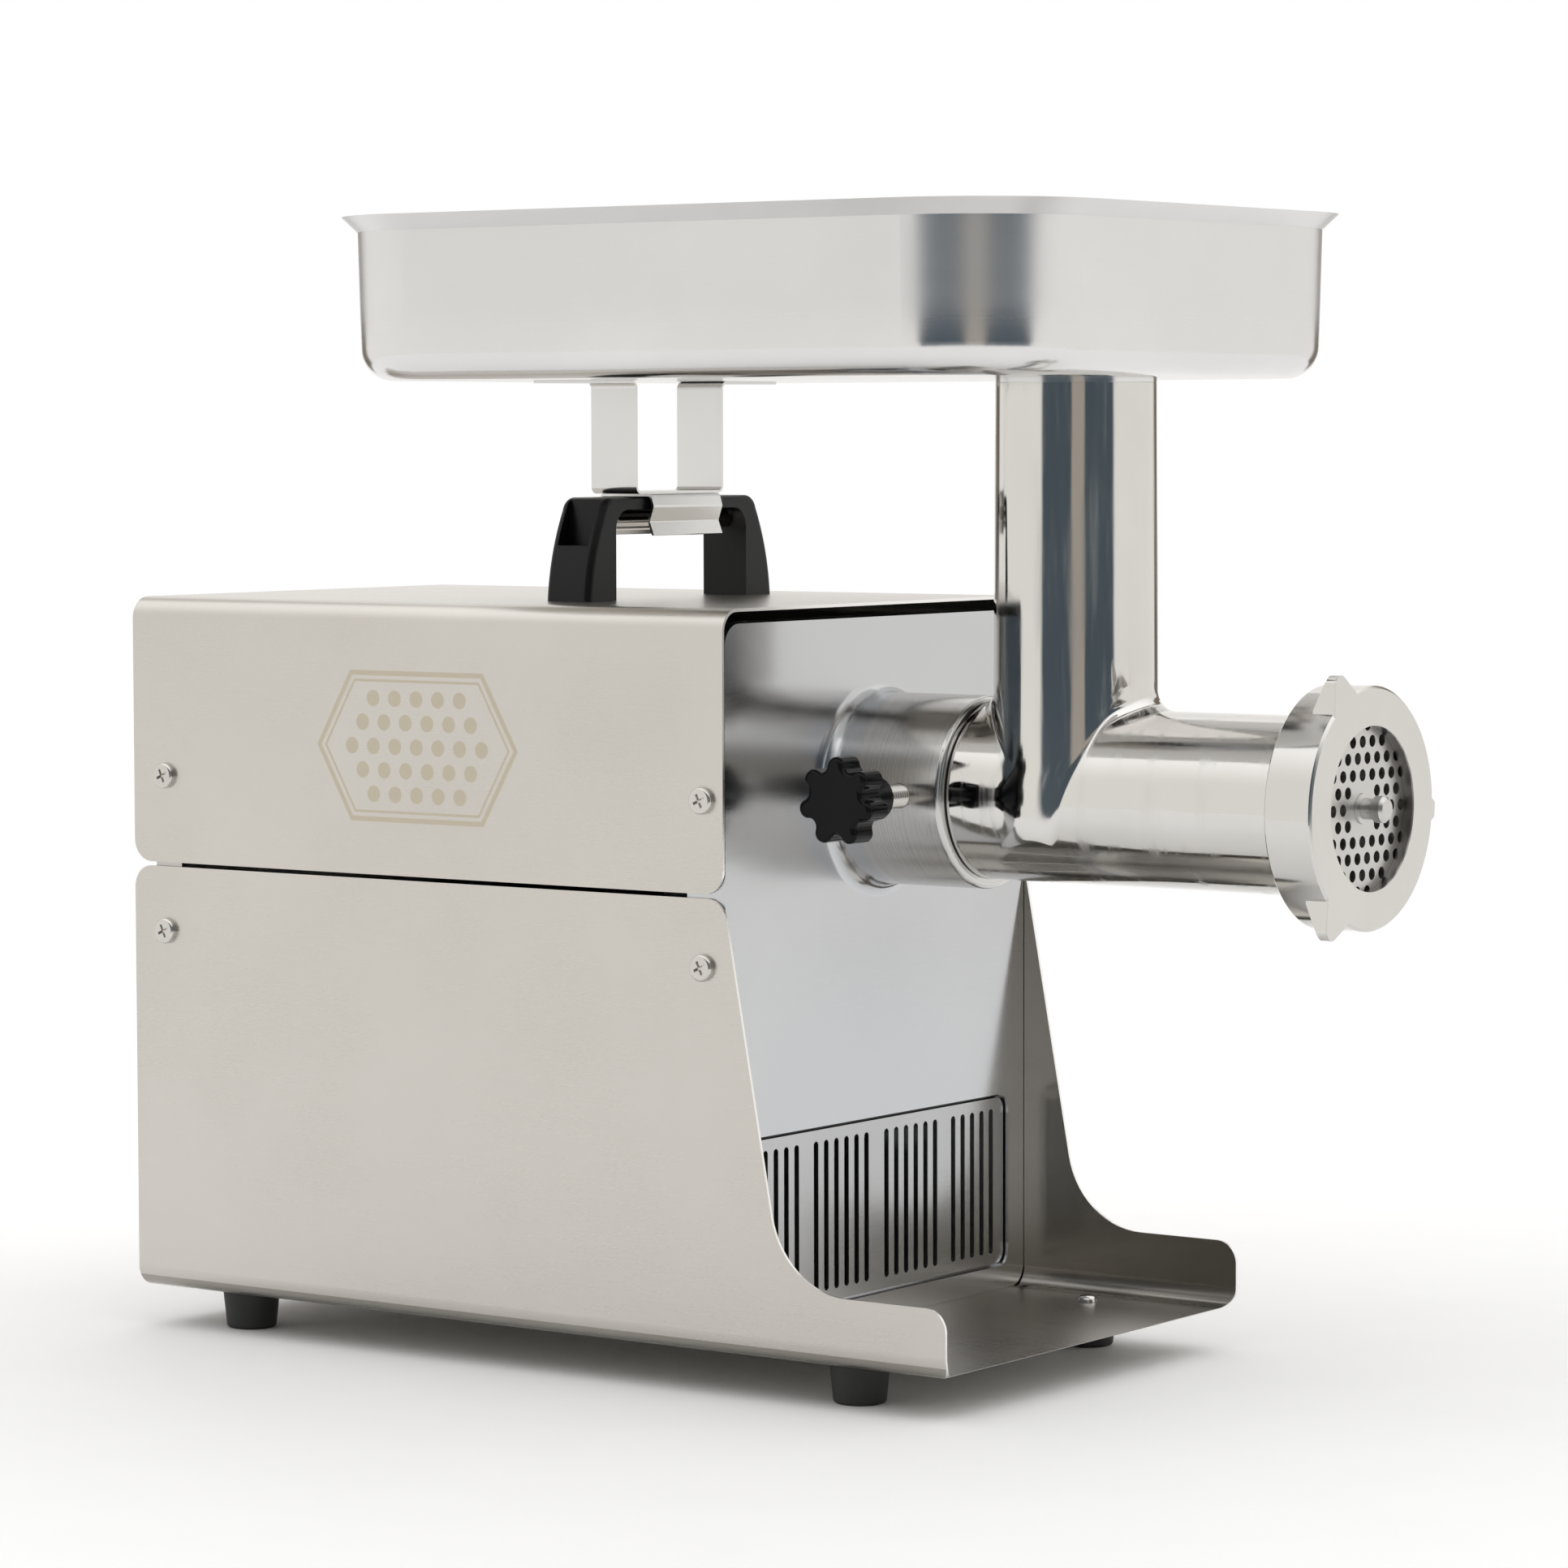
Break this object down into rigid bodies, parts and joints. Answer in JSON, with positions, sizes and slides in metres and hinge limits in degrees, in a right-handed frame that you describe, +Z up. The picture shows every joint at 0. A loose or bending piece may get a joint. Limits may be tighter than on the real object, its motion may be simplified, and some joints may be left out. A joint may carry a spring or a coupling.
{
  "type": "electric meat grinder",
  "caption": "Countertop electric meat grinder: feed pan on a feed tube, gear-driven auger, hole plate, ring nut and clamping knob on a boxed steel body.",
  "frame": {"origin": "on the bench under the middle of the machine's overall box", "axes": "+Z up, -Y the front where the mince comes out, +X to the right when looking at the front"},
  "size_m": [0.268, 0.528, 0.4517],
  "materials": {
    "sheet_steel": "brushed stainless sheet",
    "pan_steel": "satin stainless, pressed",
    "spring_steel": "bent stainless strip",
    "cast_face": "polished aluminium casting",
    "polished_head": "mirror-polished stainless casting",
    "ring_steel": "turned and polished stainless",
    "plate_steel": "ground tool steel",
    "screw_steel": "plated steel fasteners",
    "shaft_steel": "ground steel",
    "gear_steel": "oiled gear steel",
    "gearbox_alloy": "sand-cast alloy",
    "lamination": "varnished sheet laminations",
    "copper": "enamelled winding wire",
    "bronze": "sintered bronze",
    "carbon": "pressed carbon",
    "black_handle": "satin black moulding",
    "black_knob": "gloss black moulding",
    "black_fitting": "black electrical moulding",
    "red_button": "gloss red moulding",
    "white_terminal": "nylon terminal strip",
    "foot_rubber": "moulded rubber"
  },
  "bodies": {
    "housing": {"upper_cover": "sheet_steel", "lower_tray": "sheet_steel", "front_casting": "cast_face", "vent_grille": "sheet_steel", "rear_panel": "sheet_steel", "side_screws": "screw_steel", "rubber_feet": "foot_rubber", "foot_inserts": "screw_steel", "foot_screws": "screw_steel", "handle_shell": "black_handle", "handle_rod": "ring_steel", "handle_screws": "screw_steel", "shaft_seal": "foot_rubber", "gearbox_case": "gearbox_alloy", "gearbox_cover": "gearbox_alloy", "gearbox_screws": "screw_steel", "output_bearings": "shaft_steel", "layshaft_bushes": "bronze", "motor_front_bell": "gearbox_alloy", "motor_rear_bell": "gearbox_alloy", "motor_bearings": "shaft_steel", "motor_bolts": "screw_steel", "motor_cradle": "sheet_steel", "stator_core": "lamination", "field_coils": "copper", "brush_holders": "bronze", "carbon_brushes": "carbon", "switch_body": "black_fitting", "breaker_body": "black_fitting", "breaker_nut": "screw_steel", "cord_gland": "black_fitting", "gland_locknut": "black_fitting", "terminal_block": "white_terminal", "grinder_head": "polished_head", "head_bush": "bronze", "grinding_plate": "plate_steel", "plate_key": "shaft_steel"},
    "auger": {"auger": "polished_head", "auger_stud": "plate_steel", "knife": "plate_steel", "output_shaft": "shaft_steel", "output_gear": "gear_steel"},
    "layshaft": {"layshaft": "shaft_steel", "layshaft_gear": "gear_steel"},
    "rotor": {"rotor_shaft": "shaft_steel", "armature_core": "lamination", "armature_winding": "copper", "commutator": "copper", "cooling_fan": "black_fitting"},
    "ring": {"ring_nut": "ring_steel"},
    "clamp": {"knob": "black_knob", "knob_stud": "screw_steel"},
    "pan": {"feed_pan": "pan_steel", "pan_throat": "pan_steel", "pan_bracket": "spring_steel", "pan_clip": "spring_steel"},
    "rocker": {"rocker_button": "black_knob"},
    "reset": {"reset_button": "red_button"}
  },
  "joints": [
    {"name": "auger_turn", "type": "hinge", "parent": "housing", "child": "auger", "pos_m": [0, -0.1, 0.2277], "axis": [0, 1, 0], "continuous": true},
    {"name": "layshaft_turn", "type": "hinge", "parent": "housing", "child": "layshaft", "pos_m": [0, 0, 0.1577], "axis": [0, 1, 0], "continuous": true},
    {"name": "rotor_turn", "type": "hinge", "parent": "housing", "child": "rotor", "pos_m": [0, 0.1, 0.1037], "axis": [0, 1, 0], "continuous": true},
    {"name": "ring_turn", "type": "hinge", "parent": "housing", "child": "ring", "pos_m": [0, -0.248, 0.2277], "axis": [0, 1, 0], "continuous": true},
    {"name": "clamp_turn", "type": "hinge", "parent": "housing", "child": "clamp", "pos_m": [-0.06, -0.071, 0.2277], "axis": [1, 0, 0], "continuous": true},
    {"name": "pan_lift", "type": "slide", "parent": "housing", "child": "pan", "axis": [0, 0, 1], "range_m": [0, 0.12]},
    {"name": "rocker_tip", "type": "hinge", "parent": "housing", "child": "rocker", "pos_m": [-0.052, 0.2505, 0.2279], "axis": [1, 0, 0], "range_deg": [-12, 12]},
    {"name": "reset_press", "type": "slide", "parent": "housing", "child": "reset", "axis": [0, -1, 0], "range_m": [0, 0.0025], "stiffness_N_per_m": 300, "springref_m": -0.001}
  ],
  "couplings": [
    {"joint": "layshaft_turn", "follows": "auger_turn", "ratio": -4},
    {"joint": "rotor_turn", "follows": "auger_turn", "ratio": 20}
  ]
}
